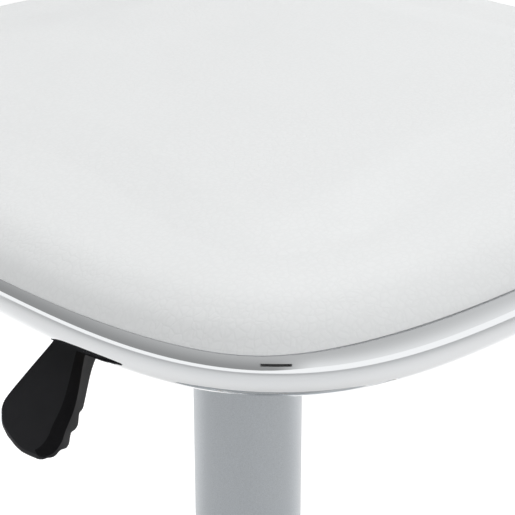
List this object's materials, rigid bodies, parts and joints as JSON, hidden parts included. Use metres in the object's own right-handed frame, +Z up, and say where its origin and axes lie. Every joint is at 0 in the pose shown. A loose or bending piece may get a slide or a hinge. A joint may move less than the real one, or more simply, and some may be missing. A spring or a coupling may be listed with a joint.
{
  "type": "adjustable swivel stool",
  "caption": "Gas-lift swivel stool: padded rounded-square seat in a bright tube ring, lever handle, silver column, footrest loop and round trumpet base.",
  "frame": {"origin": "on the floor at the column's axis, under the middle of the base", "axes": "+Z up along the column, -Y towards the front of the seat and its footrest, -X the side with the lever"},
  "size_m": [0.42, 0.42, 0.617],
  "materials": {
    "silver_paint": "satin silver-grey paint",
    "chrome": "polished chrome plate",
    "bright_steel": "ground steel",
    "zinc_plate": "bright zinc plate",
    "black_steel": "black powder coat",
    "black_plastic": "moulded, fine spark texture",
    "rubber": "matt",
    "white_leather": "white leatherette with a fine pebble grain",
    "foam": "open-cell seat foam",
    "plywood": "raw birch plywood"
  },
  "bodies": {
    "base": {"base_disc": "silver_paint", "floor_ring": "rubber", "ballast_plate": "black_steel", "column_flange": "black_steel", "flange_bolt_1": "zinc_plate", "flange_bolt_2": "zinc_plate", "flange_bolt_3": "zinc_plate", "flange_bolt_4": "zinc_plate", "base_collar": "chrome", "column_tube": "silver_paint", "tube_end_plate": "black_steel", "lower_race": "bright_steel", "guide_bush": "black_plastic", "footrest_collar": "chrome", "footrest_loop": "chrome", "footrest_screw_1": "zinc_plate", "footrest_screw_2": "zinc_plate"},
    "swivel": {"thrust_bearing": "bright_steel", "upper_race": "bright_steel", "rubber_buffer": "rubber", "retaining_clip": "zinc_plate", "piston_rod": "bright_steel", "piston": "black_plastic"},
    "seat": {"pressure_cylinder": "black_steel", "rod_seal": "black_plastic", "travel_spacer": "bright_steel", "taper_socket": "black_steel", "mount_plate": "black_steel", "pivot_cheek_left": "black_steel", "pivot_cheek_right": "black_steel", "pivot_pin": "zinc_plate", "plate_bolt_1": "zinc_plate", "plate_bolt_2": "zinc_plate", "plate_bolt_3": "zinc_plate", "plate_bolt_4": "zinc_plate", "t_nut_1": "zinc_plate", "t_nut_2": "zinc_plate", "t_nut_3": "zinc_plate", "t_nut_4": "zinc_plate", "seat_board": "plywood", "foam_pad": "foam", "seat_cover": "white_leather", "seat_ring": "chrome", "ring_tab_1": "chrome", "ring_tab_2": "chrome", "ring_tab_3": "chrome", "ring_tab_4": "chrome", "tab_screw_1": "zinc_plate", "tab_screw_2": "zinc_plate", "tab_screw_3": "zinc_plate", "tab_screw_4": "zinc_plate"},
    "lever": {"lever_arm": "black_steel", "lever_rod": "black_steel", "lever_handle": "black_plastic"},
    "valve_pin": {"release_pin": "bright_steel"}
  },
  "joints": [
    {"name": "seat_swivel", "type": "hinge", "parent": "base", "child": "swivel", "pos_m": [0, 0, 0.024], "axis": [0, 0, 1], "continuous": true},
    {"name": "height_lift", "type": "slide", "parent": "swivel", "child": "seat", "axis": [0, 0, 1], "range_m": [0, 0.2]},
    {"name": "lever_tilt", "type": "hinge", "parent": "seat", "child": "lever", "pos_m": [-0.02881, -0.01393, 0.572], "axis": [-0.4352, 0.9003, 0], "range_deg": [0, 3.5], "stiffness_Nm_per_rad": 1.5},
    {"name": "valve_press", "type": "slide", "parent": "seat", "child": "valve_pin", "axis": [0, 0, 1], "range_m": [-0.0022, 0]}
  ],
  "couplings": [
    {"joint": "valve_press", "follows": "lever_tilt", "m_per_rad": -0.032}
  ]
}
